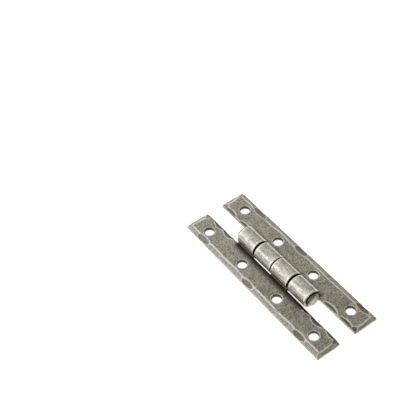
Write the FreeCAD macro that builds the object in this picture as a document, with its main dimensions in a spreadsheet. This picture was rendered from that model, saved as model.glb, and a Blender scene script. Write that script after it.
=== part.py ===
import FreeCAD, Part
import math
import os
import Sketcher
from FreeCAD import Placement, Rotation, Vector

# Surface H hinge: two hammered sheet leaves, each with two rolled knuckles, on one headed pin.
# The backs of the leaves lie on z = 0 and the pin runs along Y above the middle.

doc = FreeCAD.newDocument("h_hinge")

# Sizes in millimetres and degrees
driving = (
    ("leaf_length", "83.4"),
    ("leaf_width", "11"),
    ("sheet_thickness", "1.6"),
    ("knuckle_radius", "4.1"),
    ("edge_tuck", "0.3"),
    ("barrel_length", "42"),
    ("outer_knuckle_gap", "0.8"),
    ("middle_knuckle_gap", "0.3"),
    ("seam_gap", "0.3"),
    ("knuckle_edge_break", "0.25"),
    ("corner_start", "15"),
    ("hole_diameter", "4"),
    ("hole_rim_round", "0.35"),
    ("end_hole_inset", "8.7"),
    ("middle_hole_spacing", "22"),
    ("bevel_width", "2"),
    ("end_bevel_width", "1.55"),
    ("bevel_drop", "0.5"),
    ("inner_edge_break", "0.12"),
    ("pin_play", "0.05"),
    ("head_play", "0.08"),
    ("head_height", "1"),
    ("head_lip", "0.5"),
    ("head_round", "0.35"),
    ("hammer_radius", "20"),
    ("hammer_bite", "1.1"),
    ("hammer_lead", "0.6"),
    ("outer_hammer_tilt", "18"),
    ("inner_hammer_tilt", "15"),
    ("corner_hammer_tilt", "13.5"),
)
# Sizes that follow from the ones above
derived = (
    ("inner_edge", "=knuckle_radius - edge_tuck"),
    ("outer_edge", "=inner_edge + leaf_width"),
    ("hole_line", "=inner_edge + leaf_width / 2"),
    ("bore_radius", "=knuckle_radius - sheet_thickness"),
    ("tip_height", "=sheet_thickness + seam_gap"),
    ("seam_middle", "=sheet_thickness + seam_gap / 2"),
    ("knuckle_pitch", "=barrel_length / 4"),
    ("pin_radius", "=bore_radius - pin_play"),
    ("head_radius", "=pin_radius + head_lip"),
    ("head_start", "=barrel_length / 2 + head_play"),
    ("head_end", "=head_start + head_height"),
)
sizes = doc.addObject("Spreadsheet::Sheet", "sizes")
for row, (alias, value) in enumerate(driving + derived, 1):
    sizes.set("A%d" % row, alias)
    sizes.set("B%d" % row, value)
    sizes.setAlias("B%d" % row, alias)
names = [alias for alias, value in driving + derived]
doc.recompute()

# Hammer marks: edge, end of the leaf the place is measured from, distance from there, reach on to the face
left_marks = (
    ("outer", "far", 10.3, 2.3),
    ("outer", "middle", 2.2, 2.2),
    ("outer", "near", 12.3, 2.2),
    ("inner", "far", 8.8, 1.2),
    ("inner", "far", 14.9, 1.35),
    ("inner", "near", 20.3, 1.0),
    ("inner", "near", 12.9, 1.4),
    ("inner", "near", 3.8, 0.75),
)
right_marks = (
    ("outer", "far", 7.2, 2.2),
    ("outer", "middle", -1.6, 2.25),
    ("outer", "near", 13.8, 2.25),
    ("inner", "far", 6.1, 1.25),
    ("inner", "far", 14.5, 1.4),
    ("inner", "near", 15.2, 0.7),
    ("inner", "near", 5.4, 1.15),
)
corner_reach = 2.9


def bound(alias_sum):
    # Every sheet name in a sum gets the sheet in front of it
    words = []
    for word in alias_sum.split():
        words.append("sizes." + word if word in names else word)
    return " ".join(words)


def size(alias):
    return float(sizes.get(alias))


def new_sketch(body, name, role, offset=None, turn=None):
    # A sketch on one of the body's own planes, moved by named distances along the plane's x, y and normal
    plane = [item for item in body.Origin.OriginFeatures if item.Role == role][0]
    sketch = body.newObject("Sketcher::SketchObject", name)
    sketch.AttachmentSupport = [(plane, "")]
    sketch.MapMode = "FlatFace"
    if turn is not None:
        sketch.AttachmentOffset = Placement(Vector(0, 0, 0), turn)
    for axis, distance in (offset or {}).items():
        sketch.setExpression("AttachmentOffset.Base." + axis, bound(distance))
    return sketch


def place_point(sketch, line, end, x, y):
    # One corner of an outline, held by its two named distances from the sketch's origin
    for kind, distance in (("DistanceX", x), ("DistanceY", y)):
        value = sketch.evalExpression(bound(distance))
        number = sketch.addConstraint(Sketcher.Constraint(kind, -1, 1, line, end, float(value)))
        sketch.setExpression("Constraints[%d]" % number, bound(distance))


def add_outline(sketch, corners):
    # A closed outline of straight lines through the named corners
    points = []
    for x, y in corners:
        across = float(sketch.evalExpression(bound(x)))
        up = float(sketch.evalExpression(bound(y)))
        points.append(Vector(across, up, 0))
    lines = []
    for start, stop in zip(points, points[1:] + points[:1]):
        lines.append(sketch.addGeometry(Part.LineSegment(start, stop)))
    for line, following in zip(lines, lines[1:] + lines[:1]):
        sketch.addConstraint(Sketcher.Constraint("Coincident", line, 2, following, 1))
    for line, (x, y) in zip(lines, corners):
        place_point(sketch, line, 1, x, y)


def add_feature(body, kind, name, sketch, length=None, reverse=False, midplane=False):
    feature = body.newObject("PartDesign::" + kind, name)
    feature.Profile = sketch
    if length is not None:
        feature.setExpression("Length", bound(length))
    feature.Midplane = midplane
    feature.Reversed = reverse
    doc.recompute()
    return feature


def draw_knuckle_section(sketch):
    # The sheet runs flat under the pin, then rolls up and over it until its tip nears the sheet again
    radius = size("knuckle_radius")
    thick = size("sheet_thickness")
    root = size("inner_edge") + size("inner_edge_break")
    tip = math.pi + math.asin((radius - size("tip_height")) / radius)
    middle = Vector(0, radius, 0)
    up = Vector(0, 0, 1)
    outer = Part.ArcOfCircle(Part.Circle(middle, up, radius), -math.pi / 2, tip)
    inner = Part.ArcOfCircle(Part.Circle(middle, up, radius - thick), -math.pi / 2, tip)
    under = sketch.addGeometry(Part.LineSegment(Vector(-root, 0, 0), Vector(0, 0, 0)))
    outside = sketch.addGeometry(outer)
    inside = sketch.addGeometry(inner)
    end = sketch.addGeometry(Part.LineSegment(outer.EndPoint, inner.EndPoint))
    over = sketch.addGeometry(Part.LineSegment(Vector(0, thick, 0), Vector(-root, thick, 0)))
    back = sketch.addGeometry(Part.LineSegment(Vector(-root, thick, 0), Vector(-root, 0, 0)))
    for first, first_end, second, second_end in (
        (under, 2, -1, 1),
        (under, 2, outside, 1),
        (outside, 2, end, 1),
        (end, 2, inside, 2),
        (inside, 1, over, 1),
        (over, 2, back, 1),
        (back, 2, under, 1),
        (outside, 3, inside, 3),
    ):
        sketch.addConstraint(Sketcher.Constraint("Coincident", first, first_end, second, second_end))
    sketch.addConstraint(Sketcher.Constraint("Horizontal", under))
    sketch.addConstraint(Sketcher.Constraint("Horizontal", over))
    sketch.addConstraint(Sketcher.Constraint("Vertical", back))
    sketch.addConstraint(Sketcher.Constraint("PointOnObject", outside, 3, -2))
    sketch.addConstraint(Sketcher.Constraint("PointOnObject", inside, 1, -2))
    sketch.addConstraint(Sketcher.Constraint("PointOnObject", outside, 3, end))
    for constraint, distance in (
        (Sketcher.Constraint("Radius", outside, radius), "knuckle_radius"),
        (Sketcher.Constraint("Radius", inside, radius - thick), "bore_radius"),
        (Sketcher.Constraint("DistanceX", under, 1, under, 2, root), "inner_edge + inner_edge_break"),
        (Sketcher.Constraint("DistanceY", -1, 1, outside, 2, size("tip_height")), "tip_height"),
    ):
        number = sketch.addConstraint(constraint)
        sketch.setExpression("Constraints[%d]" % number, bound(distance))


def add_hammer_mark(body, name, x, y, inward, tilt, reach):
    # A shallow round-bottomed facet that rises from the edge on to the face; inward is its heading in degrees
    slope = math.radians(size(tilt))
    lead = "hammer_lead * %.6f"
    across = math.cos(math.radians(inward)) * math.cos(slope)
    along = math.sin(math.radians(inward)) * math.cos(slope)
    drop = "sheet_thickness - %.6f - " % (reach * math.tan(slope))
    offset = {
        "x": y + " - " + lead % along,
        "y": drop + lead % math.sin(slope),
        "z": x + " - " + lead % across,
    }
    heading = Rotation(Vector(0, 1, 0), inward).multiply(Rotation(Vector(1, 0, 0), -size(tilt)))
    sketch = new_sketch(body, name + "_shape", "YZ_Plane", offset, heading)
    radius = size("hammer_radius")
    bite = size("hammer_bite")
    half = math.acos((radius - bite) / radius)
    circle = Part.Circle(Vector(0, radius, 0), Vector(0, 0, 1), radius)
    arc = Part.ArcOfCircle(circle, -math.pi / 2 - half, -math.pi / 2 + half)
    bottom = sketch.addGeometry(arc)
    chord = sketch.addGeometry(Part.LineSegment(arc.EndPoint, arc.StartPoint))
    sketch.addConstraint(Sketcher.Constraint("Coincident", bottom, 2, chord, 1))
    sketch.addConstraint(Sketcher.Constraint("Coincident", chord, 2, bottom, 1))
    sketch.addConstraint(Sketcher.Constraint("Horizontal", chord))
    sketch.addConstraint(Sketcher.Constraint("PointOnObject", bottom, 3, -2))
    for constraint, distance in (
        (Sketcher.Constraint("Radius", bottom, radius), "hammer_radius"),
        (Sketcher.Constraint("DistanceY", -1, 1, bottom, 3, radius), "hammer_radius"),
        (Sketcher.Constraint("DistanceY", -1, 1, chord, 1, bite), "hammer_bite"),
    ):
        number = sketch.addConstraint(constraint)
        sketch.setExpression("Constraints[%d]" % number, bound(distance))
    run = "%.6f + hammer_lead" % (reach / math.cos(slope) + 1.0)
    return add_feature(body, "Pocket", name, sketch, run, reverse=True)


def make_leaf(label, marks):
    # One leaf, drawn on the left of the pin with its first knuckle at the far end
    body = doc.addObject("PartDesign::Body", label)
    body.Label = label

    blank = new_sketch(body, label + "_blank", "XY_Plane")
    add_outline(blank, (
        ("-1 * outer_edge", "leaf_length / -2"),
        ("-1 * inner_edge", "leaf_length / -2"),
        ("-1 * inner_edge", "leaf_length / 2"),
        ("-1 * outer_edge", "leaf_length / 2"),
    ))
    add_feature(body, "Pad", label + "_plate", blank, "sheet_thickness")

    # Hand-dressed bevel on the outer edge and a light break on the inner one
    sides = new_sketch(body, label + "_side_bevel_shape", "XZ_Plane")
    add_outline(sides, (
        ("-1 * outer_edge", "sheet_thickness"),
        ("-1 * outer_edge", "sheet_thickness - bevel_drop"),
        ("bevel_width - outer_edge", "sheet_thickness"),
    ))
    add_outline(sides, (
        ("-1 * inner_edge", "sheet_thickness"),
        ("-1 * inner_edge - inner_edge_break", "sheet_thickness"),
        ("-1 * inner_edge", "sheet_thickness - inner_edge_break"),
    ))
    add_feature(body, "Pocket", label + "_side_bevels", sides, "leaf_length + 2", midplane=True)

    ends = new_sketch(body, label + "_end_bevel_shape", "YZ_Plane")
    add_outline(ends, (
        ("leaf_length / 2", "sheet_thickness"),
        ("leaf_length / 2 - end_bevel_width", "sheet_thickness"),
        ("leaf_length / 2", "sheet_thickness - bevel_drop"),
    ))
    add_outline(ends, (
        ("leaf_length / -2", "sheet_thickness"),
        ("leaf_length / -2", "sheet_thickness - bevel_drop"),
        ("leaf_length / -2 + end_bevel_width", "sheet_thickness"),
    ))
    add_feature(body, "Pocket", label + "_end_bevels", ends, "outer_edge + 1")

    # Four screw holes with rounded rims
    centres = new_sketch(body, label + "_hole_centres", "XY_Plane", {"z": "sheet_thickness"})
    for place in (
        "leaf_length / 2 - end_hole_inset",
        "middle_hole_spacing / 2",
        "middle_hole_spacing / -2",
        "end_hole_inset - leaf_length / 2",
    ):
        y = float(centres.evalExpression(bound(place)))
        circle = Part.Circle(Vector(-size("hole_line"), y, 0), Vector(0, 0, 1), size("hole_diameter") / 2)
        ring = centres.addGeometry(circle)
        place_point(centres, ring, 3, "-1 * hole_line", place)
        number = centres.addConstraint(Sketcher.Constraint("Diameter", ring, size("hole_diameter")))
        centres.setExpression("Constraints[%d]" % number, "sizes.hole_diameter")
    doc.recompute()
    holes = body.newObject("PartDesign::Hole", label + "_screw_holes")
    holes.Profile = centres
    doc.recompute()
    holes.DepthType = "ThroughAll"
    holes.setExpression("Diameter", "sizes.hole_diameter")
    doc.recompute()

    rims = []
    for number, edge in enumerate(holes.Shape.Edges, 1):
        at_top = abs(edge.CenterOfMass.z - size("sheet_thickness")) < 1e-6
        if at_top and isinstance(edge.Curve, Part.Circle):
            rims.append("Edge%d" % number)
    rounds = body.newObject("PartDesign::Fillet", label + "_hole_rims")
    rounds.Base = (holes, rims)
    rounds.setExpression("Radius", "sizes.hole_rim_round")
    doc.recompute()

    # Knuckles one and three of the barrel
    knuckles = (
        ("first", "knuckle_pitch * 2", "knuckle_pitch + outer_knuckle_gap / 2"),
        ("third", "middle_knuckle_gap / -2", "outer_knuckle_gap / 2 - knuckle_pitch"),
    )
    for which, far, near in knuckles:
        section = new_sketch(body, "%s_%s_section" % (label, which), "XZ_Plane", {"z": "-1 * ( " + far + " )"})
        draw_knuckle_section(section)
        add_feature(body, "Pad", "%s_%s_knuckle" % (label, which), section, far + " - ( " + near + " )")

    # Broken corners round the ends of both knuckles, from just past the flat of the sheet to the tip
    past_flat = Rotation(Vector(1, 0, 0), -size("corner_start"))
    corners = new_sketch(body, label + "_knuckle_corner_shape", "YZ_Plane", {"y": "knuckle_radius"}, past_flat)
    for which, far, near in knuckles:
        for end, step in ((far, " - knuckle_edge_break"), (near, " + knuckle_edge_break")):
            add_outline(corners, (
                (end, "-1 * knuckle_radius"),
                (end + step, "-1 * knuckle_radius"),
                (end, "knuckle_edge_break - knuckle_radius"),
            ))
    doc.recompute()
    groove = body.newObject("PartDesign::Groove", label + "_knuckle_corners")
    groove.Profile = corners
    groove.ReferenceAxis = (corners, ["H_Axis"])
    sweep = bound("270 deg - corner_start * 1 deg + asin( ( knuckle_radius - seam_middle ) / knuckle_radius )")
    groove.setExpression("Angle", sweep)
    groove.Reversed = False
    doc.recompute()

    # Hammer marks along the edges and across the corners of the plate
    edges = {
        "outer": ("-1 * outer_edge", 0, "outer_hammer_tilt"),
        "inner": ("-1 * inner_edge", 180, "inner_hammer_tilt"),
    }
    ends = {"far": "leaf_length / 2 - %.6f", "middle": "%.6f", "near": "leaf_length / -2 + %.6f"}
    for number, (edge, end, distance, reach) in enumerate(marks, 1):
        x, inward, tilt = edges[edge]
        add_hammer_mark(body, "%s_mark_%d" % (label, number), x, ends[end] % distance, inward, tilt, reach)
    corner_places = (
        ("-1 * outer_edge", "leaf_length / 2", -45),
        ("-1 * inner_edge", "leaf_length / 2", -135),
        ("-1 * outer_edge", "leaf_length / -2", 45),
        ("-1 * inner_edge", "leaf_length / -2", 135),
    )
    for number, (x, y, inward) in enumerate(corner_places, 1):
        name = "%s_corner_%d" % (label, number)
        add_hammer_mark(body, name, x, y, inward, "corner_hammer_tilt", corner_reach)
    doc.recompute()
    return body


def make_pin(label):
    # Plain shank with a low peened head outside each end of the barrel
    body = doc.addObject("PartDesign::Body", label)
    body.Label = label
    profile = new_sketch(body, label + "_profile", "YZ_Plane", {"y": "knuckle_radius"})
    add_outline(profile, (
        ("-1 * head_end", "0"),
        ("head_end", "0"),
        ("head_end", "head_radius"),
        ("head_start", "head_radius"),
        ("head_start", "pin_radius"),
        ("-1 * head_start", "pin_radius"),
        ("-1 * head_start", "head_radius"),
        ("-1 * head_end", "head_radius"),
    ))
    doc.recompute()
    turned = body.newObject("PartDesign::Revolution", label + "_turned")
    turned.Profile = profile
    turned.ReferenceAxis = (profile, ["H_Axis"])
    turned.Angle = 360
    doc.recompute()
    rims = []
    for number, edge in enumerate(turned.Shape.Edges, 1):
        outside = abs(abs(edge.CenterOfMass.y) - size("head_end")) < 1e-6
        if outside and isinstance(edge.Curve, Part.Circle):
            rims.append("Edge%d" % number)
    peened = body.newObject("PartDesign::Fillet", label + "_peened_rims")
    peened.Base = (turned, rims)
    peened.setExpression("Radius", "sizes.head_round")
    doc.recompute()
    return body


left_leaf = make_leaf("left_leaf", left_marks)
right_leaf = make_leaf("right_leaf", right_marks)
right_leaf.Placement = Placement(Vector(0, 0, 0), Rotation(Vector(0, 0, 1), 180))
hinge_pin = make_pin("hinge_pin")
doc.recompute()

for item in doc.Objects:
    if "Invalid" in item.State or "Error" in item.State:
        raise RuntimeError("%s did not build: %s" % (item.Name, item.State))

os.makedirs("parts", exist_ok=True)
for piece in (left_leaf, right_leaf, hinge_pin):
    if piece.Shape.isNull() or not piece.Shape.isValid() or len(piece.Shape.Solids) != 1:
        raise RuntimeError("%s is not one sound solid" % piece.Label)
    piece.Shape.exportStep("parts/%s.step" % piece.Label)
    box = piece.Shape.BoundBox
    print(piece.Label, "volume %.2f" % piece.Shape.Volume)
    print("  x %.3f to %.3f" % (box.XMin, box.XMax))
    print("  y %.3f to %.3f" % (box.YMin, box.YMax))
    print("  z %.3f to %.3f" % (box.ZMin, box.ZMax))
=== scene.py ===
import math
from types import SimpleNamespace

import bmesh
import bpy
import numpy as np
from mathutils import Matrix, Vector, noise


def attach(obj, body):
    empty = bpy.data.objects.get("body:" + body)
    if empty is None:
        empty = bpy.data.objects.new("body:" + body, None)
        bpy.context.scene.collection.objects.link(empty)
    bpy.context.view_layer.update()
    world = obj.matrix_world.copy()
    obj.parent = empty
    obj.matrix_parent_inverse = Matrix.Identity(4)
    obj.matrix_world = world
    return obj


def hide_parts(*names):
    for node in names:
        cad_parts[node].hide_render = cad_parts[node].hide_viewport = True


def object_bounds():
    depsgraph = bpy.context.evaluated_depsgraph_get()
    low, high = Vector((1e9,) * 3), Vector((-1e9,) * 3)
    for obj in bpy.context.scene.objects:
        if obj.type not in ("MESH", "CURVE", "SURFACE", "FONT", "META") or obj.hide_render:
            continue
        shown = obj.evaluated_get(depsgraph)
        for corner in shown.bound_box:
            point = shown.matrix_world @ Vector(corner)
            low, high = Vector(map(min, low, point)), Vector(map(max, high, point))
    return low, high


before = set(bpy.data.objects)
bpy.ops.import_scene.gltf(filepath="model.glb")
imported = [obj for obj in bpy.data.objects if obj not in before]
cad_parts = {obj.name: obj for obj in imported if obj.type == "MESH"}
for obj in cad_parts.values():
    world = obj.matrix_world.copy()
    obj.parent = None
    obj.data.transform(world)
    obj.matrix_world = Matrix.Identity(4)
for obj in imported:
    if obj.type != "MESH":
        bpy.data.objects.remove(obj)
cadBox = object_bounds()
scene = bpy.context.scene
scene.view_settings.view_transform = "Standard"
scene.view_settings.look = "None"
print("frame loaded:", ", ".join(sorted(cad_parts)))


# camera, standing where the photo was taken from
shot = {
    "lens": 90.0,
    "sensorWidth": 36.0,
    "clipStart": 0.01,
    "eye": (-0.15413, -0.19109, 0.31831),
    "azimuth": -32.291,  # where the lens points, not where the hinge lies
    "elevation": 48.048,
    "roll": -5.25,
}


def makeCamera():
    a, e, r = (math.radians(shot[k]) for k in ("azimuth", "elevation", "roll"))
    back = Vector((math.sin(a) * math.cos(e), -math.cos(a) * math.cos(e), math.sin(e)))
    level = Vector((math.cos(a), math.sin(a), 0.0))
    upright = back.cross(level)
    right = level * math.cos(r) + upright * math.sin(r)
    up = upright * math.cos(r) - level * math.sin(r)
    lens = bpy.data.cameras.new("photoCamera")
    lens.lens = shot["lens"]
    lens.sensor_width = shot["sensorWidth"]
    lens.clip_start = shot["clipStart"]
    camera = bpy.data.objects.new("photoCamera", lens)
    scene.collection.objects.link(camera)
    aim = Matrix((right, up, back)).transposed().to_4x4()
    camera.matrix_world = Matrix.Translation(shot["eye"]) @ aim
    scene.camera = camera


makeCamera()
print("camera set")


# mesh helpers, all in millimetres until the piece is placed
perMetre = 1000.0
weldGap = 1e-4
noiseWay = (1.0, 1.7, 0.6)  # which way a shift moves the noise


def evenSkin(node, skinSize):
    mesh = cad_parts[node].data.copy()
    mesh.transform(Matrix.Scale(perMetre, 4))
    weld = bmesh.new()
    weld.from_mesh(mesh)
    bmesh.ops.remove_doubles(weld, verts=weld.verts, dist=weldGap)
    weld.to_mesh(mesh)
    weld.free()
    carrier = bpy.data.objects.new("skinWork", mesh)
    scene.collection.objects.link(carrier)
    skin = carrier.modifiers.new("evenSkin", "REMESH")
    skin.mode = "VOXEL"
    skin.voxel_size = skinSize
    skin.use_smooth_shade = True
    graph = bpy.context.evaluated_depsgraph_get()
    dense = bpy.data.meshes.new_from_object(carrier.evaluated_get(graph))
    bpy.data.objects.remove(carrier)
    bpy.data.meshes.remove(mesh)
    return dense


def getPoints(mesh):
    flat = np.empty(len(mesh.vertices) * 3)
    mesh.vertices.foreach_get("co", flat)
    return flat.reshape(-1, 3)


def setPoints(mesh, points):
    mesh.vertices.foreach_set("co", points.ravel())
    mesh.update()


def getNormals(mesh):
    flat = np.empty(len(mesh.vertices) * 3)
    mesh.vertex_normals.foreach_get("vector", flat)
    return flat.reshape(-1, 3)


def getEdges(mesh):
    flat = np.empty(len(mesh.edges) * 2, dtype=np.int64)
    mesh.edges.foreach_get("vertices", flat)
    return flat.reshape(-1, 2)


def soften(values, edges, passes, pull=0.5):
    # plain averaging with the neighbours, for points or for one number a point
    single = values.ndim == 1
    data = values.reshape(len(values), -1).copy()
    first, second = edges[:, 0], edges[:, 1]
    count = np.bincount(first, minlength=len(data)) + np.bincount(second, minlength=len(data))
    count = np.maximum(count, 1)[:, None]
    for _ in range(passes):
        total = np.zeros_like(data)
        for k in range(data.shape[1]):
            total[:, k] += np.bincount(first, weights=data[second, k], minlength=len(data))
            total[:, k] += np.bincount(second, weights=data[first, k], minlength=len(data))
        data += pull * (total / count - data)
    return data[:, 0] if single else data


def fade(values, line, span):
    # a smooth rise from 0 to 1 between the span's two distances from a line
    low, high = line + span[0], line + span[1]
    t = np.clip((values - low) / (high - low), 0.0, 1.0)
    return t * t * (3.0 - 2.0 * t)


def noiseAt(points, size, shift):
    offset = Vector([shift * way for way in noiseWay])
    return np.array([noise.noise(Vector(p) / size + offset) for p in points])


def bulgeOf(points, normals, edges, passes):
    # how far each point stands proud of its smoothed surroundings
    return np.einsum("ij,ij->i", points - soften(points, edges, passes), normals)


def storeMask(mesh, name, values):
    layer = mesh.attributes.new(name, "FLOAT", "POINT")
    layer.data.foreach_set("value", values.astype(np.float32))


def placePiece(mesh, name, node, body, material):
    mesh.transform(Matrix.Scale(1.0 / perMetre, 4))
    mesh.materials.clear()
    mesh.materials.append(material)
    piece = bpy.data.objects.new(name, mesh)
    scene.collection.objects.link(piece)
    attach(piece, body)
    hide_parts(node)
    print(name, "has", len(mesh.polygons), "faces")
    return piece


# node helpers
def startMaterial(name):
    material = bpy.data.materials.new(name)
    material.use_nodes = True
    tree = material.node_tree
    tree.nodes.clear()
    output = tree.nodes.new("ShaderNodeOutputMaterial")
    shader = tree.nodes.new("ShaderNodeBsdfPrincipled")
    tree.links.new(shader.outputs["BSDF"], output.inputs["Surface"])
    place = tree.nodes.new("ShaderNodeTexCoord").outputs["Object"]
    return material, tree, shader, place


def feed(tree, socket, value):
    if isinstance(value, (int, float)):
        socket.default_value = value
    elif isinstance(value, tuple):
        socket.default_value = (*value, 1.0)
    else:
        tree.links.new(value, socket)


def addNoise(tree, place, scale, detail, rough, stretch=None):
    node = tree.nodes.new("ShaderNodeTexNoise")
    node.inputs["Scale"].default_value = scale
    node.inputs["Detail"].default_value = detail
    node.inputs["Roughness"].default_value = rough
    if stretch:
        mapping = tree.nodes.new("ShaderNodeMapping")
        mapping.inputs["Scale"].default_value = stretch
        tree.links.new(place, mapping.inputs["Vector"])
        place = mapping.outputs["Vector"]
    tree.links.new(place, node.inputs["Vector"])
    return node.outputs["Fac"]


def addRange(tree, value, low, high, outLow=0.0, outHigh=1.0):
    node = tree.nodes.new("ShaderNodeMapRange")
    node.inputs["From Min"].default_value = low
    node.inputs["From Max"].default_value = high
    node.inputs["To Min"].default_value = outLow
    node.inputs["To Max"].default_value = outHigh
    tree.links.new(value, node.inputs["Value"])
    return node.outputs["Result"]


def addMath(tree, kind, first, second):
    node = tree.nodes.new("ShaderNodeMath")
    node.operation = kind
    feed(tree, node.inputs[0], first)
    feed(tree, node.inputs[1], second)
    return node.outputs[0]


def addMix(tree, amount, first, second):
    node = tree.nodes.new("ShaderNodeMix")
    node.data_type = "RGBA"
    feed(tree, node.inputs[0], amount)
    feed(tree, node.inputs[6], first)
    feed(tree, node.inputs[7], second)
    return node.outputs[2]


def addBlend(tree, amount, first, second):
    # the same for single numbers
    node = tree.nodes.new("ShaderNodeMix")
    node.data_type = "FLOAT"
    feed(tree, node.inputs[0], amount)
    feed(tree, node.inputs[2], first)
    feed(tree, node.inputs[3], second)
    return node.outputs[0]


def addMask(tree, name):
    node = tree.nodes.new("ShaderNodeAttribute")
    node.attribute_name = name
    return node.outputs["Fac"]


def addGrainBump(tree, shader, height, strength, distance):
    bump = tree.nodes.new("ShaderNodeBump")
    bump.inputs["Strength"].default_value = strength
    bump.inputs["Distance"].default_value = distance
    tree.links.new(height, bump.inputs["Height"])
    tree.links.new(bump.outputs["Normal"], shader.inputs["Normal"])


# leaf finish: grey patina on the faces, rubbed bright along the edges and over the barrel
leafFinish = {
    "patinaDark": (0.110, 0.101, 0.086),
    "patinaLight": (0.540, 0.500, 0.424),
    "rubbed": (0.860, 0.830, 0.750),
    "dentDark": (0.125, 0.115, 0.092),
    "dentAmount": 0.66,
    "barrelDark": (0.105, 0.096, 0.076),
    "barrelLight": (0.620, 0.600, 0.540),
    # painted shade: deepDark in the knuckle gaps, bore, holes and end faces; recessDark beside the barrel,
    # on its flanks, along edges and walls
    "deepDark": (0.022, 0.018, 0.012),
    "recessDark": (0.034, 0.030, 0.022),
    # noises: scale, detail, roughness
    "grain": (1450.0, 5.0, 0.62),
    "fine": (2700.0, 3.0, 0.6),
    "blotch": (260.0, 3.0, 0.55),
    "streak": (420.0, 4.0, 0.6),
    "streakStretch": (2.2, 0.55, 2.2),
    "fineShare": 0.8,
    # how a noise becomes an amount: from, to, and the two amounts where they aren't 0 and 1
    "mottle": (0.68, 1.12),
    "cloud": (0.3, 0.7, -0.12, 0.12),
    "speck": (0.33, 0.46),
    "band": (0.36, 0.60, 0.50, 1.0),
    "rubGrain": (0.3, 0.6, 0.55, 1.05),
    "faceRough": (0.3, 0.7, 0.34, 0.48),
    "barrelRough": (0.3, 0.7, 0.19, 0.36),
    "rubbedRough": 0.33,
    "grainStrength": 0.4,
    "grainHeight": 0.00005,
    "fineHeight": 0.4,
    "barrelGrain": 0.5,  # the barrel is smoother than the plates
}


def makeLeafMetal():
    look = leafFinish
    material, tree, shader, place = startMaterial("hammeredPewter")
    grain = addNoise(tree, place, *look["grain"])
    fine = addNoise(tree, place, *look["fine"])
    blotch = addNoise(tree, place, *look["blotch"])
    streak = addNoise(tree, place, *look["streak"], stretch=look["streakStretch"])
    rolled = addMask(tree, "rolled")

    # plate colour
    mixed = addMath(tree, "ADD", grain, addMath(tree, "MULTIPLY", fine, look["fineShare"]))
    mottle = addRange(tree, mixed, *look["mottle"])
    cloud = addRange(tree, blotch, *look["cloud"])
    plate = addMix(tree, addMath(tree, "ADD", mottle, cloud), look["patinaDark"], look["patinaLight"])
    # barrel colour, brighter with dark specks
    speck = addRange(tree, grain, *look["speck"])
    band = addRange(tree, streak, *look["band"])
    barrel = addMix(tree, addMath(tree, "MULTIPLY", speck, band), look["barrelDark"], look["barrelLight"])
    metal = addMix(tree, rolled, plate, barrel)
    # dents keep their patina and edges are rubbed through it; the wear mask also paints light on the far
    # end's flats, and painted shade darkens the corners, gaps, holes, barrel flanks and walls
    inDent = addMath(tree, "MULTIPLY", addMask(tree, "dent"), look["dentAmount"])
    metal = addMix(tree, inDent, metal, look["dentDark"])
    rub = addMath(tree, "MULTIPLY", addMask(tree, "wear"), addRange(tree, grain, *look["rubGrain"]))
    metal = addMix(tree, rub, metal, look["rubbed"])
    metal = addMix(tree, addMask(tree, "recess"), metal, look["recessDark"])
    metal = addMix(tree, addMask(tree, "deep"), metal, look["deepDark"])
    tree.links.new(metal, shader.inputs["Base Color"])
    shader.inputs["Metallic"].default_value = 1.0

    faceRough = addRange(tree, grain, *look["faceRough"])
    barrelRough = addRange(tree, streak, *look["barrelRough"])
    rough = addBlend(tree, rolled, faceRough, barrelRough)
    rough = addBlend(tree, rub, rough, look["rubbedRough"])
    tree.links.new(rough, shader.inputs["Roughness"])

    height = addMath(tree, "ADD", grain, addMath(tree, "MULTIPLY", fine, look["fineHeight"]))
    lessOnBarrel = addRange(tree, rolled, 0.0, 1.0, 1.0, look["barrelGrain"])
    height = addMath(tree, "MULTIPLY", height, lessOnBarrel)
    addGrainBump(tree, shader, height, look["grainStrength"], look["grainHeight"])
    return material


leafMetal = makeLeafMetal()
print("leaf metal made")


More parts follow.
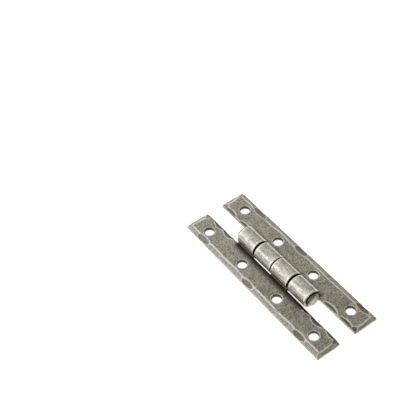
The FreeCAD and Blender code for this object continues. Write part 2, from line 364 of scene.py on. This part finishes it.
# leaves: the sheet's own sizes in millimetres, then how its skin is worked and worn
leafBuild = {
    "outerEdge": round(cadBox[1][0] * perMetre, 2),
    "halfLength": round(cadBox[1][1] * perMetre, 2),
    "knuckleRadius": round(cadBox[1][2] * perMetre / 2.0, 2),
    "innerEdge": 3.8,
    "thickness": 1.6,
    "barrelHalf": 21.0,
    "bevelWidth": 2.0,
    "endBevelWidth": 1.55,
    "bevelDrop": 0.5,
    "innerBreak": 0.12,
    "holeLine": 9.3,
    "holeRows": (33.0, 11.0),
    "holeRadius": 2.0,
    "skinSize": 0.19,
    "edgePasses": 1,
    "topSlack": 0.05,  # what counts as the plate's top and edge
    "edgeSlack": 0.02,
    # hammer blows: edge, place along the leaf, reach on to the face
    "blows": {
        "left_leaf": (
            ("outer", 31.4, 2.75),
            ("outer", 2.2, 2.6),
            ("outer", -29.4, 2.6),
            ("broad", 32.9, 1.8),
            ("broad", 26.8, 1.95),
            ("broad", -21.4, 1.5),
            ("broad", -28.8, 2.15),
            ("broad", -37.2, 1.5),
        ),
        "right_leaf": (
            ("outer", -35.0, 2.75),
            ("outer", 1.4, 2.7),
            ("outer", 27.9, 2.8),
            ("inner", -36.0, 1.6),
            ("inner", -27.2, 1.7),
            ("inner", 26.5, 1.35),
            ("inner", 36.0, 1.6),
        ),
    },
    # slope in degrees, roundness along the edge, and the tighter roundness right at the rim
    "blowShape": {"outer": (18.0, 25.0, 6.0), "inner": (15.0, 24.0, 24.0), "broad": (11.5, 22.0, 22.0)},
    "blowHalf": 5.0,  # a blow works no further than this along the edge, and this past its reach
    "blowMargin": 0.3,
    "blowFacing": 0.3,  # only what faces up, and lies above this height, is carved
    "blowFoot": 0.6,
    # uneven work
    "wander": 0.55,  # how far the bevel lines stray
    "wanderSize": {"side": 6.5, "end": 3.9},
    "edgeWave": 0.14,  # how uneven the outline is
    "edgeWaveSize": 4.0,
    "edgeWaveBias": 0.2,
    "edgeWaveLean": 0.3,  # how much it changes down the wall
    "laneAt": {"side": 9.0, "end": 30.0},  # where the noise is read, one lane for each edge
    "edgeDrive": 0.12,  # how much closer to the barrel the inner edge is driven
    "driveSlack": 0.15,
    "waveSize": 5.0,
    "waveHeight": 0.025,
    "pitSize": 0.9,
    "pitHeight": 0.014,
    "barrelWave": 0.03,
    "barrelWaveSize": 2.2,
    "barrelStretch": (1.0, 0.6, 1.0),
    # shifts that keep the noises apart
    "shift": {"pit": 3.0, "endLine": 5.0, "barrel": 9.0, "sideLine": 21.0,
              "sideEdge": 40.0, "endEdge": 50.0, "patch": 60.0},
    # dents
    "hollowPasses": 2,
    # how much of a dent's dark stays in the far and near corners, and how far from the corner that holds
    "cornerDent": {"left_leaf": ((0.4, 4.2), (0.15, 2.4)), "right_leaf": ((0.4, 2.6), (0.9, 2.4))},
    "dentTone": 0.88,
    "dentFarther": 0.16,  # paler towards the far end
    "innerDent": 1.3,  # inner dents are darker than the outer ones
    # painted shade, and painted light on the far end
    "holeShade": 0.8,
    "tipShade": 0.55,
    "edgeShade": 0.45,
    "flankShade": 0.22,
    "shoulderShade": 0.20,  # painted shade on the right shoulder of the barrel, left off along one line
    "shoulderLine": 2.4,
    "turnedEdgeShade": 0.5,
    "shadedSide": (0.8, -0.6),  # the way that the edges with painted shade face
    "wallShade": 0.14,
    "nearShade": 0.13,  # painted shade: near end a little darker; painted light: far end a little paler
    "farPaintedLight": 0.10,
    # rubbed places
    "lineRub": 1.2,  # bevel lines
    "lineOverrun": 0.2,
    "lineInset": 0.5,
    "lineHeight": (-0.3, 0.1),
    "lipRub": 1.35,  # outlines of the dents
    "rimRub": 0.25,  # outer rim of the dents
    "sideRub": 0.20,  # how far the bevels are rubbed all over
    "endRub": 0.18,
    "broadPasses": 9,
    "holeLoss": 0.9,  # what hole rims, outer rims and plates lose of the plain wear
    "rimLoss": 0.65,
    "plateLoss": 0.4,
    "patchSize": 3.0,
    "patchDepth": 0.6,
    "patchMiddle": 0.92,
    "patchLeast": 0.55,
    "patchFarther": 0.12,
}
leafBuild["sideLine"] = leafBuild["outerEdge"] - leafBuild["bevelWidth"]
leafBuild["endLine"] = leafBuild["halfLength"] - leafBuild["endBevelWidth"]

# where a leaf's masks start and where they are full: millimetres from the line that the code names,
# or, for the ways that a face can turn, the size of its normal along that way
leafFades = {
    "rimTighten": (1.1, 0.0),
    "wanderRise": (0.6, 1.0),
    "wanderFace": (-1.2, 0.0),
    "wanderBevel": {"side": (1.4, 0.1), "end": (1.2, 0.1)},
    "uneven": {"side": (-1.5, -0.1), "end": (-1.3, -0.1)},
    "driveEdge": (0.6, 0.1),
    "driveEnds": (-0.2, -1.2),
    "facing": (0.45, 0.75),
    "dent": (0.006, 0.03),
    "corner": (0.0, -0.8),
    "rolled": (0.35, 0.05),
    "rolledFoot": (0.02, 0.35),
    "endFace": (0.5, 0.8),
    "gap": (-0.05, -0.3),
    "gapEnds": (-0.3, -0.6),
    "bore": (-0.7, -1.2),
    "holeWall": (0.34, 0.14),
    "holeTop": (0.02, -0.1),
    "tip": (-0.2, -0.45),
    "tipEnds": (-0.6, -0.3),
    "tipFoot": (1.2, 1.8),
    "beside": (3.6, 0.5),
    "besideEnds": (0.8, -0.6),
    "innerRim": (1.2, 0.4),
    "recessFoot": (0.7, 1.1),
    "recessTop": (0.6, 0.2),
    "flankTop": (6.95, 6.2),
    "flankFoot": (4.6, 5.4),
    "shoulderIn": (0.5, 1.2),
    "shoulderOut": (3.75, 3.5),
    "shoulderRise": (5.4, 6.0),
    "shoulderUnshaded": (0.42, 0.12),
    "outside": (-1.2, -0.5),
    "turned": (0.12, 0.42),
    "turnedUp": (0.3, 0.55),
    "wall": (0.45, 0.2),
    "line": (0.44, 0.16),
    "bulge": (0.004, 0.016),
    "holeRim": (0.9, 0.5),
    "rimOut": (-0.6, -0.2),
    "rimIn": (0.5, 0.2),
    "dentRim": (-0.4, -0.15),
    "bevelRub": (-0.1, 0.3),
}


def readPlate(points):
    # where each point lies, measured from the leaf's own middle, pin and holes
    b = leafBuild
    at = SimpleNamespace()
    at.x, at.y, at.height = points.T.copy()
    at.across = np.abs(at.x)
    at.along = np.abs(at.y)
    at.towardFar = np.clip(at.y / b["halfLength"], -1.0, 1.0)
    at.underTop = at.height < b["thickness"] + b["topSlack"]
    at.fromPin = np.hypot(at.x, at.height - b["knuckleRadius"])
    fromRow = [np.hypot(at.across - b["holeLine"], at.along - row) for row in b["holeRows"]]
    at.fromHole = np.min(fromRow, axis=0)
    return at


def nearOutline(at, span):
    # close to the long outer edge or to an end
    b = leafBuild
    return np.maximum(fade(at.across, b["outerEdge"], span), fade(at.along, b["halfLength"], span))


def dentDepth(at):
    # how far a point of the plate's top lies under the plain bevelled plate
    b = leafBuild
    outer = (b["outerEdge"] - at.across) / b["bevelWidth"]
    end = (b["halfLength"] - at.along) / b["endBevelWidth"]
    top = b["thickness"] - b["bevelDrop"] * np.clip(1.0 - np.minimum(outer, end), 0.0, 1.0)
    inner = np.clip(b["innerBreak"] - (at.across - b["innerEdge"]), 0.0, None)
    depth = np.minimum(top, b["thickness"] - inner) - at.height
    onPlate = (at.across > b["innerEdge"] - b["edgeSlack"]) & at.underTop
    return np.where(onPlate, depth, 0.0)


def carveBlows(points, normals, blows):
    # each blow runs further than in the solid, and an outer one closes up at the rim
    b = leafBuild
    at = readPlate(points)
    carved = points.copy()
    onTop = (normals[:, 2] > b["blowFacing"]) & (at.height > b["blowFoot"]) & at.underTop
    for edge, place, reach in blows:
        slope, roundness, rimRound = b["blowShape"][edge]
        inward = b["outerEdge"] - at.across if edge == "outer" else at.across - b["innerEdge"]
        run = at.y - place
        tight = roundness + (rimRound - roundness) * fade(inward, 0.0, leafFades["rimTighten"])
        fall = (reach - inward) * math.tan(math.radians(slope))
        floor = b["thickness"] - fall + run * run / (2.0 * tight)
        hit = onTop & (np.abs(run) < b["blowHalf"]) & (inward < reach + b["blowMargin"])
        plain = carved[:, 2]
        if edge == "outer":
            plain = b["thickness"] - b["bevelDrop"] * np.clip(1.0 - inward / b["bevelWidth"], 0.0, 1.0)
        carved[:, 2] = np.where(hit, np.minimum(plain, floor), carved[:, 2])
    return carved


def strayBevels(points, at, shift):
    # the filed lines wander a little along the plate, and the outline is hammered a little uneven
    b = leafBuild
    moved = points.copy()
    tall = fade(at.height, 0.0, leafFades["wanderRise"]) * at.underTop
    runs = (
        ("side", 0, at.across, b["outerEdge"], b["sideLine"]),
        ("end", 1, at.along, b["halfLength"], b["endLine"]),
    )
    for edge, axis, distance, outline, line in runs:
        way = np.sign(points[:, axis])
        lanes = points.copy()
        lanes[:, axis] = way * b["laneAt"][edge]
        lanes[:, 2] = 0.0
        stray = noiseAt(lanes, b["wanderSize"][edge], shift + b["shift"][edge + "Line"]) * b["wander"]
        reach = fade(distance, line, leafFades["wanderFace"]) * tall
        reach *= fade(distance, line, leafFades["wanderBevel"][edge])
        moved[:, axis] += way * stray * reach
        lanes[:, 2] = at.height * b["edgeWaveLean"]
        uneven = noiseAt(lanes, b["edgeWaveSize"], shift + b["shift"][edge + "Edge"]) + b["edgeWaveBias"]
        uneven = np.clip(uneven, 0.0, 1.0) * b["edgeWave"]
        moved[:, axis] -= way * uneven * fade(distance, outline, leafFades["uneven"][edge])
    # beside the barrel the inner edge is driven a little closer to it
    close = fade(at.across, b["innerEdge"], leafFades["driveEdge"]) * at.underTop
    close *= fade(at.along, b["barrelHalf"], leafFades["driveEnds"])
    close *= at.across > b["innerEdge"] - b["driveSlack"]
    moved[:, 0] -= np.sign(at.x) * close * b["edgeDrive"]
    return moved


def toneDents(dent, at, node):
    # a dent's dark thins out towards the far end and in the corners
    b = leafBuild
    fromSide = np.minimum(b["outerEdge"] - at.across, at.across - b["innerEdge"])
    fromCorner = np.hypot(fromSide, b["halfLength"] - at.along)
    (farKeep, farReach), (nearKeep, nearReach) = b["cornerDent"][node]
    keep = np.where(at.towardFar > 0.0, farKeep, nearKeep)
    reach = np.where(at.towardFar > 0.0, farReach, nearReach)
    toned = dent * (1.0 - (1.0 - keep) * fade(fromCorner - reach, 0.0, leafFades["corner"]))
    toned *= b["dentTone"] - b["dentFarther"] * at.towardFar
    return toned * np.where(at.across < b["holeLine"], b["innerDent"], 1.0)


def shadeDeep(at, normals, inBore):
    # painted shade between the knuckles, in the bore, down the screw holes and on the barrel's two end
    # faces
    b, f = leafBuild, leafFades
    endFace = fade(np.abs(normals[:, 1]), 0.0, f["endFace"])
    inGap = endFace * fade(at.fromPin, b["knuckleRadius"], f["gap"])
    inGap *= fade(at.along, b["barrelHalf"], f["gapEnds"])
    inHole = fade(at.fromHole, b["holeRadius"], f["holeWall"])
    inHole *= fade(at.height, b["thickness"], f["holeTop"])
    onTip = endFace * fade(at.fromPin, b["knuckleRadius"], f["tip"])
    onTip *= fade(at.along, b["barrelHalf"], f["tipEnds"]) * fade(at.height, 0.0, f["tipFoot"])
    return np.max((inGap, inBore, inHole * b["holeShade"], onTip * b["tipShade"]), axis=0)


def shadeRecess(at, normals, facing, rolled):
    b, f = leafBuild, leafFades
    # painted shade beside the barrel and along the inner edge
    beside = fade(at.across, b["innerEdge"], f["beside"]) * fade(at.along, b["barrelHalf"], f["besideEnds"])
    rim = fade(at.across, b["innerEdge"], f["innerRim"]) * facing * b["edgeShade"]
    edge = np.maximum(beside, rim) * fade(at.height, 0.0, f["recessFoot"]) * (1.0 - rolled)
    edge *= fade(at.height, b["thickness"], f["recessTop"])
    # painted shade down both flanks and over the right shoulder of the barrel
    flank = fade(at.height, 0.0, f["flankTop"]) * fade(at.height, 0.0, f["flankFoot"])
    flank *= rolled * b["flankShade"]
    shoulder = fade(at.x, 0.0, f["shoulderIn"]) * fade(at.x, 0.0, f["shoulderOut"])
    shoulder *= fade(at.height, 0.0, f["shoulderRise"]) * rolled * b["shoulderShade"]
    shoulder *= 1.0 - fade(np.abs(at.x - b["shoulderLine"]), 0.0, f["shoulderUnshaded"])
    # painted shade on the outer bevels that face one way and on the walls, and a little all over the near
    # end
    outside = nearOutline(at, f["outside"])
    toSide = normals[:, 0] * b["shadedSide"][0] + normals[:, 1] * b["shadedSide"][1]
    turned = fade(toSide, 0.0, f["turned"]) * fade(normals[:, 2], 0.0, f["turnedUp"])
    paintedShade = turned * outside * b["turnedEdgeShade"]
    wall = outside * fade(np.abs(normals[:, 2]), 0.0, f["wall"]) * b["wallShade"]
    nearEnd = b["nearShade"] * np.clip(-at.towardFar, 0.0, 1.0) * facing * (1.0 - rolled)
    return np.max((edge, flank, shoulder, paintedShade, wall, nearEnd), axis=0)


def rubLines(at, facing, hollow):
    # the lines where the bevels start are rubbed bright
    b = leafBuild
    side = fade(np.abs(at.across - b["sideLine"]), 0.0, leafFades["line"])
    side *= at.along < b["endLine"] + b["lineOverrun"]
    end = fade(np.abs(at.along - b["endLine"]), 0.0, leafFades["line"])
    end *= (at.across < b["sideLine"] + b["lineOverrun"]) & (at.across > b["innerEdge"] + b["lineInset"])
    low, high = b["lineHeight"]
    onTop = (at.height > b["thickness"] + low) & (at.height < b["thickness"] + high)
    return np.maximum(side, end) * facing * onTop * (1.0 - hollow) * b["lineRub"]


def rubEdges(bulge, at, rolled):
    # what stands proud is worn, less so round the holes, at the rims and on the plates
    b, f = leafBuild, leafFades
    wear = fade(bulge, 0.0, f["bulge"])
    wear *= 1.0 - b["holeLoss"] * fade(at.fromHole, b["holeRadius"], f["holeRim"])
    rimIn = fade(at.across, b["innerEdge"], f["rimIn"]) * (1.0 - rolled)
    wear *= 1.0 - b["rimLoss"] * np.maximum(nearOutline(at, f["rimOut"]), rimIn)
    return wear * (1.0 - b["plateLoss"] * (1.0 - rolled))


def makeLeaf(node, body, name, shift):
    b, f = leafBuild, leafFades
    mesh = evenSkin(node, b["skinSize"])
    edges = getEdges(mesh)
    points = carveBlows(getPoints(mesh), getNormals(mesh), b["blows"][node])
    setPoints(mesh, points)
    normals = getNormals(mesh)
    at = readPlate(points)

    # masks that follow the carved leaf
    facing = fade(normals[:, 2], 0.0, f["facing"])
    dent = fade(dentDepth(at), 0.0, f["dent"]) * facing
    hollow = soften(dent, edges, b["hollowPasses"])
    lip = np.clip(4.0 * hollow * (1.0 - hollow), 0.0, 1.0) * facing * b["lipRub"]
    dent = toneDents(dent, at, node)
    rolled = fade(at.fromPin, b["knuckleRadius"], f["rolled"])
    rolled *= fade(at.height, b["thickness"], f["rolledFoot"])
    inBore = fade(at.fromPin, b["knuckleRadius"], f["bore"])
    deep = shadeDeep(at, normals, inBore)
    recess = shadeRecess(at, normals, facing, rolled)
    lines = rubLines(at, facing, hollow)

    # uneven edges, then wear on what stands proud, with painted light on the far end's flats
    points = soften(strayBevels(points, at, shift), edges, b["edgePasses"])
    setPoints(mesh, points)
    normals = getNormals(mesh)
    bulge = soften(bulgeOf(points, normals, edges, b["broadPasses"]), edges, 1)
    patchy = noiseAt(points, b["patchSize"], shift + b["shift"]["patch"]) * b["patchDepth"]
    patchy = np.clip(patchy + b["patchMiddle"], b["patchLeast"], 1.0)
    patchy *= 1.0 - b["patchFarther"] * at.towardFar
    dentRim = hollow * facing * fade(at.across, b["outerEdge"], f["dentRim"]) * b["rimRub"]
    # painted light: the far end's flats a little paler, carried in the wear mask
    farEnd = b["farPaintedLight"] * np.clip(at.towardFar, 0.0, 1.0) * facing * (1.0 - rolled)
    onSide = fade(at.across, b["sideLine"], f["bevelRub"]) * b["sideRub"]
    onEnd = fade(at.along, b["endLine"], f["bevelRub"]) * b["endRub"]
    onBevel = np.maximum(onSide, onEnd) * facing * (1.0 - dent)
    wornAndLit = (rubEdges(bulge, at, rolled), lines * patchy, lip * patchy, dentRim, farEnd, onBevel)
    wear = np.minimum(np.max(wornAndLit, axis=0), 1.0)

    # slow waves and small pits of a hand-worked sheet, only ever inward
    wave = noiseAt(points, b["waveSize"], shift) * 0.5 + 0.5
    pit = np.clip(noiseAt(points, b["pitSize"], shift + b["shift"]["pit"]), 0.0, 1.0)
    drawn = points * np.array(b["barrelStretch"])
    swell = noiseAt(drawn, b["barrelWaveSize"], shift + b["shift"]["barrel"]) * 0.5 + 0.5
    sink = wave * b["waveHeight"] + pit * b["pitHeight"] + swell * rolled * b["barrelWave"]
    setPoints(mesh, points - normals * (sink * (1.0 - inBore))[:, None])
    # recess and deep hold painted shade; wear also holds the far end's painted light
    masks = {"wear": wear, "dent": dent, "rolled": rolled, "deep": deep, "recess": recess}
    for mask, values in masks.items():
        storeMask(mesh, mask, soften(values, edges, 1))
    return placePiece(mesh, name, node, body, leafMetal)


makeLeaf("left_leaf", "left_side", "leftLeaf", 0.0)
makeLeaf("right_leaf", "right_side", "rightLeaf", 7.3)
print("leaves made")


# pin: dark shank, lighter peened ends, painted shade on the head sides and the upper left of each end
pinBuild = {
    "axisHeight": leafBuild["knuckleRadius"],
    "barrelHalf": leafBuild["barrelHalf"],
    "headRadius": 2.95,
    "shankRadius": 2.445,
    "neckSlack": 0.05,  # how far past the barrel's end the neck is held to the shank's radius
    "skinSize": 0.16,
    "edgePasses": 3,
    "broadPasses": 12,
    "peenSize": 0.8,
    "peenShift": 11.0,
    "peenHeight": 0.06,
    "peenSpread": (0.7, 0.4),  # how strongly the noise counts, and its middle
    "dark": (0.235, 0.210, 0.185),
    "light": (0.600, 0.560, 0.530),
    "rubbed": (0.70, 0.66, 0.60),
    "shank": (0.030, 0.021, 0.013),
    "paintedShade": 0.8,  # painted shade over the upper left of each end
    "shadeWay": (-0.6, 0.8),
    "sideShade": 0.7,
    "grain": (1700.0, 4.0, 0.6),
    "mottle": (0.34, 0.62),
    "rough": (0.3, 0.7, 0.34, 0.52),
    "grainStrength": 0.3,
    "grainHeight": 0.00005,
    # where its masks start and where they are full
    "headFade": (0.1, 0.3),
    "bulgeFade": (0.015, 0.06),
    "sideFade": (-0.25, -0.1),
    "sideTurn": (0.75, 0.4),
    "shadeFade": (0.5, 2.0),
}


def makePinMetal():
    look = pinBuild
    material, tree, shader, place = startMaterial("peenedSteel")
    grain = addNoise(tree, place, *look["grain"])
    metal = addMix(tree, addRange(tree, grain, *look["mottle"]), look["dark"], look["light"])
    metal = addMix(tree, addMask(tree, "wear"), metal, look["rubbed"])
    metal = addMix(tree, addMask(tree, "deep"), metal, look["shank"])
    tree.links.new(metal, shader.inputs["Base Color"])
    shader.inputs["Metallic"].default_value = 1.0
    tree.links.new(addRange(tree, grain, *look["rough"]), shader.inputs["Roughness"])
    addGrainBump(tree, shader, grain, look["grainStrength"], look["grainHeight"])
    return material


def makePin():
    b = pinBuild
    axis = b["axisHeight"]
    mesh = evenSkin("hinge_pin", b["skinSize"])
    edges = getEdges(mesh)
    points = soften(getPoints(mesh), edges, b["edgePasses"])
    # the softened neck under each head stays clear of the bore
    radius = np.hypot(points[:, 0], points[:, 2] - axis)
    tooWide = (np.abs(points[:, 1]) < b["barrelHalf"] + b["neckSlack"]) & (radius > b["shankRadius"])
    fit = np.where(tooWide, b["shankRadius"] / np.maximum(radius, b["shankRadius"]), 1.0)
    points[:, 0] *= fit
    points[:, 2] = axis + (points[:, 2] - axis) * fit
    setPoints(mesh, points)
    normals = getNormals(mesh)
    head = fade(np.abs(points[:, 1]), b["barrelHalf"], b["headFade"])
    wear = fade(bulgeOf(points, normals, edges, b["broadPasses"]), 0.0, b["bulgeFade"])
    spread, middle = b["peenSpread"]
    blow = np.clip(noiseAt(points, b["peenSize"], b["peenShift"]) * spread + middle, 0.0, 1.0)
    points = points - normals * (blow * b["peenHeight"] * head)[:, None]
    setPoints(mesh, points)
    # painted shade on the sides of each head and over its upper left
    fromAxis = np.hypot(points[:, 0], points[:, 2] - axis)
    side = fade(fromAxis, b["headRadius"], b["sideFade"]) * fade(np.abs(normals[:, 1]), 0.0, b["sideTurn"])
    toGrime = points[:, 0] * b["shadeWay"][0] + (points[:, 2] - axis) * b["shadeWay"][1]
    paintedShade = fade(toGrime, 0.0, b["shadeFade"]) * b["paintedShade"]
    storeMask(mesh, "wear", wear * head)
    storeMask(mesh, "deep", np.max((1.0 - head, side * b["sideShade"], paintedShade), axis=0))
    return placePiece(mesh, "hingePin", "hinge_pin", "left_side", makePinMetal())


makePin()
print("pin made")


# white table, lit a little from below so that it stays white under the hinge
table = {
    "half": 1.6,
    "drop": 0.00012,
    "pale": (0.90, 0.90, 0.895),
    "paler": (0.93, 0.93, 0.925),
    "cloud": (3.0, 2.0, 0.5),
    "rough": 0.9,
    "glowTone": (1.0, 1.0, 1.0),
    "glow": 0.7,
}


def makeTable():
    mesh = bpy.data.meshes.new("whiteTable")
    s = table["half"]
    corners = [(-s, -s, 0.0), (s, -s, 0.0), (s, s, 0.0), (-s, s, 0.0)]
    mesh.from_pydata(corners, [], [(0, 1, 2, 3)])
    material, tree, shader, place = startMaterial("whiteCard")
    cloud = addNoise(tree, place, *table["cloud"])
    tree.links.new(addMix(tree, cloud, table["pale"], table["paler"]), shader.inputs["Base Color"])
    shader.inputs["Roughness"].default_value = table["rough"]
    feed(tree, shader.inputs["Emission Color"], table["glowTone"])
    shader.inputs["Emission Strength"].default_value = table["glow"]
    mesh.materials.append(material)
    top = bpy.data.objects.new("whiteTable", mesh)
    top.location.z = -table["drop"]
    scene.collection.objects.link(top)


# soft room, brightest low at the back left
studio = {
    "brightSide": (-0.45, 0.85, 0.27),
    "roomStrength": 1.3,
    "roomTones": (
        # how far round to the bright side, 0 to 1, and the tone there
        (0.00, (0.26, 0.26, 0.26)),
        (0.50, (0.41, 0.385, 0.335)),
        (0.72, (0.60, 0.60, 0.58)),
        (0.90, (0.86, 0.86, 0.86)),
        (1.00, (0.86, 0.86, 0.86)),
    ),
    "boxes": (
        # name, where it stands, size, watts, colour
        ("backLeftBox", (-0.78, 0.53, 0.57), 0.55, 0.75, (1.0, 1.0, 1.0)),
        ("rightCard", (0.95, 0.50, 0.10), 0.40, 0.14, (0.86, 0.93, 1.0)),
    ),
}


def makeStudio():
    world = bpy.data.worlds.new("studioRoom")
    world.use_nodes = True
    tree = world.node_tree
    backdrop = tree.nodes["Background"]
    backdrop.inputs["Strength"].default_value = studio["roomStrength"]
    place = tree.nodes.new("ShaderNodeTexCoord").outputs["Generated"]
    aim = tree.nodes.new("ShaderNodeVectorMath")
    aim.operation = "DOT_PRODUCT"
    tree.links.new(place, aim.inputs[0])
    aim.inputs[1].default_value = studio["brightSide"]
    tones = tree.nodes.new("ShaderNodeValToRGB")
    tree.links.new(addRange(tree, aim.outputs["Value"], -1.0, 1.0), tones.inputs["Fac"])
    stops = tones.color_ramp.elements
    while len(stops) < len(studio["roomTones"]):
        stops.new(0.5)
    for stop, (at, tone) in zip(stops, studio["roomTones"]):
        stop.position = at
        stop.color = (*tone, 1.0)
    tree.links.new(tones.outputs["Color"], backdrop.inputs["Color"])
    scene.world = world
    for name, stand, size, watts, colour in studio["boxes"]:
        lamp = bpy.data.lights.new(name, "AREA")
        lamp.shape = "SQUARE"
        lamp.size = size
        lamp.energy = watts
        lamp.color = colour
        box = bpy.data.objects.new(name, lamp)
        box.location = stand
        box.rotation_euler = (-Vector(stand)).to_track_quat("-Z", "Y").to_euler()
        scene.collection.objects.link(box)


makeTable()
makeStudio()
print("table and lights set")
